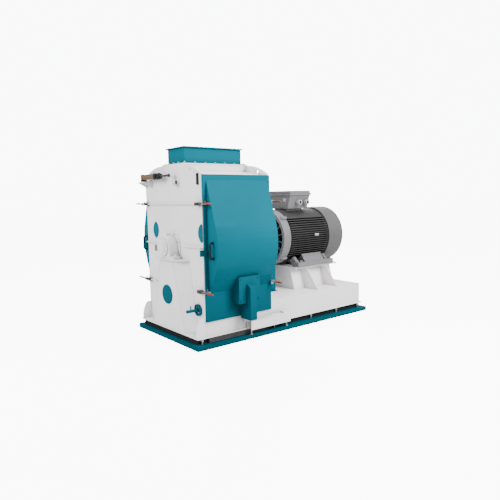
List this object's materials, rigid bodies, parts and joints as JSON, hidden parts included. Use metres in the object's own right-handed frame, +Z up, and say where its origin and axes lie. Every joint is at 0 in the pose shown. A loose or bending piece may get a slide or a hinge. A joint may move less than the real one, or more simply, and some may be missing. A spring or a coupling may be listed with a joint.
{
  "type": "hammer mill",
  "caption": "Direct-driven grain hammer mill with sliding bulged doors, swing hammers on a rotor, a top feed spout with a flap, and a finned motor on a common base.",
  "frame": {"origin": "centre of the base frame's footprint, on the floor", "axes": "+X along the rotor shaft from the mill to the motor, +Y towards the far door, +Z up"},
  "size_m": [2.563, 1.536, 2],
  "materials": {
    "teal_paint": "satin teal enamel",
    "white_paint": "satin warm white enamel",
    "motor_grey": "grey machinery enamel",
    "steel": "zinc plated and turned steel",
    "cast": "dark worn iron and plate",
    "rubber": "matt rubber",
    "black_plastic": "matt black",
    "orange_grip": "dipped vinyl grip"
  },
  "bodies": {
    "frame": {"base_frame": "teal_paint", "isolator_strips": "rubber", "steel_bolts": "steel", "discharge_sleeve": "rubber", "mill_base": "white_paint", "motor_base_beam": "white_paint", "motor_pedestal": "white_paint", "front_wall": "white_paint", "rear_wall": "white_paint", "hood": "white_paint", "inlet_spout": "teal_paint", "inlet_bolts": "steel", "bearing_stands": "white_paint", "bearing_housings": "white_paint", "shaft_bearings": "steel", "bearing_caps": "white_paint", "wall_trim": "teal_paint", "screens": "cast", "screen_frames": "cast", "door_rails": "white_paint", "clamp_mounts": "steel", "cylinder_shelf": "white_paint", "flap_cylinder": "steel", "motor_frame": "motor_grey", "motor_stator": "cast", "end_shields": "motor_grey", "fan_cowl": "motor_grey", "motor_feet": "motor_grey", "terminal_box": "motor_grey", "terminal_lid": "motor_grey", "cable_glands": "black_plastic", "coupling_guard": "teal_paint"},
    "rotor": {"rotor_shaft": "steel", "rotor_discs": "cast", "hammer_pins": "steel", "coupling": "cast", "motor_rotor": "cast"},
    "hammers_1": {"hammer_row_1": "cast"},
    "hammers_2": {"hammer_row_2": "cast"},
    "hammers_3": {"hammer_row_3": "cast"},
    "hammers_4": {"hammer_row_4": "cast"},
    "near_door": {"near_door_panel": "teal_paint", "near_door_handle": "black_plastic", "near_door_carriage": "teal_paint", "near_door_fittings": "steel"},
    "near_front_upper_lever": {"near_front_upper_clamp": "orange_grip"},
    "near_rear_upper_lever": {"near_rear_upper_clamp": "orange_grip"},
    "near_front_lower_lever": {"near_front_lower_clamp": "orange_grip"},
    "near_rear_lower_lever": {"near_rear_lower_clamp": "orange_grip"},
    "far_door": {"far_door_panel": "teal_paint", "far_door_handle": "black_plastic", "far_door_carriage": "teal_paint", "far_door_fittings": "steel"},
    "far_front_upper_lever": {"far_front_upper_clamp": "orange_grip"},
    "far_rear_upper_lever": {"far_rear_upper_clamp": "orange_grip"},
    "far_front_lower_lever": {"far_front_lower_clamp": "orange_grip"},
    "far_rear_lower_lever": {"far_rear_lower_clamp": "orange_grip"},
    "flap": {"inlet_flap": "cast"},
    "cylinder_rod": {"piston_rod": "steel"},
    "spindle": {"lock_spindle": "teal_paint"}
  },
  "joints": [
    {"name": "rotor_spin", "type": "hinge", "parent": "frame", "child": "rotor", "pos_m": [0, 0, 0.975], "axis": [1, 0, 0], "continuous": true},
    {"name": "hammer_swing_1", "type": "hinge", "parent": "rotor", "child": "hammers_1", "pos_m": [-0.75, 0.18385, 1.15885], "axis": [1, 0, 0], "continuous": true},
    {"name": "hammer_swing_2", "type": "hinge", "parent": "rotor", "child": "hammers_2", "pos_m": [-0.75, -0.18385, 1.15885], "axis": [1, 0, 0], "continuous": true},
    {"name": "hammer_swing_3", "type": "hinge", "parent": "rotor", "child": "hammers_3", "pos_m": [-0.75, -0.18385, 0.79115], "axis": [1, 0, 0], "continuous": true},
    {"name": "hammer_swing_4", "type": "hinge", "parent": "rotor", "child": "hammers_4", "pos_m": [-0.75, 0.18385, 0.79115], "axis": [1, 0, 0], "continuous": true},
    {"name": "near_door_slide", "type": "slide", "parent": "frame", "child": "near_door", "axis": [1, 0, 0], "range_m": [0, 0.45]},
    {"name": "near_front_upper_clamp_turn", "type": "hinge", "parent": "frame", "child": "near_front_upper_lever", "pos_m": [-1.175, -0.572, 1.416], "axis": [0, 0, -1], "range_deg": [0, 90]},
    {"name": "near_rear_upper_clamp_turn", "type": "hinge", "parent": "near_door", "child": "near_rear_upper_lever", "pos_m": [-0.284, -0.612, 1.416], "axis": [1, 0, 0], "range_deg": [0, 95]},
    {"name": "near_front_lower_clamp_turn", "type": "hinge", "parent": "frame", "child": "near_front_lower_lever", "pos_m": [-1.175, -0.572, 0.562], "axis": [0, 0, -1], "range_deg": [0, 90]},
    {"name": "near_rear_lower_clamp_turn", "type": "hinge", "parent": "near_door", "child": "near_rear_lower_lever", "pos_m": [-0.284, -0.612, 0.562], "axis": [1, 0, 0], "range_deg": [0, 95]},
    {"name": "far_door_slide", "type": "slide", "parent": "frame", "child": "far_door", "axis": [1, 0, 0], "range_m": [0, 0.45]},
    {"name": "far_front_upper_clamp_turn", "type": "hinge", "parent": "frame", "child": "far_front_upper_lever", "pos_m": [-1.175, 0.572, 1.416], "axis": [0, 0, 1], "range_deg": [0, 90]},
    {"name": "far_rear_upper_clamp_turn", "type": "hinge", "parent": "far_door", "child": "far_rear_upper_lever", "pos_m": [-0.284, 0.612, 1.416], "axis": [-1, 0, 0], "range_deg": [0, 95]},
    {"name": "far_front_lower_clamp_turn", "type": "hinge", "parent": "frame", "child": "far_front_lower_lever", "pos_m": [-1.175, 0.572, 0.562], "axis": [0, 0, 1], "range_deg": [0, 90]},
    {"name": "far_rear_lower_clamp_turn", "type": "hinge", "parent": "far_door", "child": "far_rear_lower_lever", "pos_m": [-0.284, 0.612, 0.562], "axis": [-1, 0, 0], "range_deg": [0, 95]},
    {"name": "flap_turn", "type": "hinge", "parent": "frame", "child": "flap", "pos_m": [-1, -0.13, 1.635], "axis": [1, 0, 0], "range_deg": [0, 64.8]},
    {"name": "rod_slide", "type": "slide", "parent": "frame", "child": "cylinder_rod", "axis": [0, -1, 0], "range_m": [0, 0.0935]},
    {"name": "spindle_turn", "type": "hinge", "parent": "frame", "child": "spindle", "pos_m": [-1.2, -0.462, 0.368], "axis": [1, 0, 0], "range_deg": [-90, 90]}
  ],
  "couplings": [
    {"joint": "rod_slide", "follows": "flap_turn", "m_per_rad": 0.08196}
  ]
}
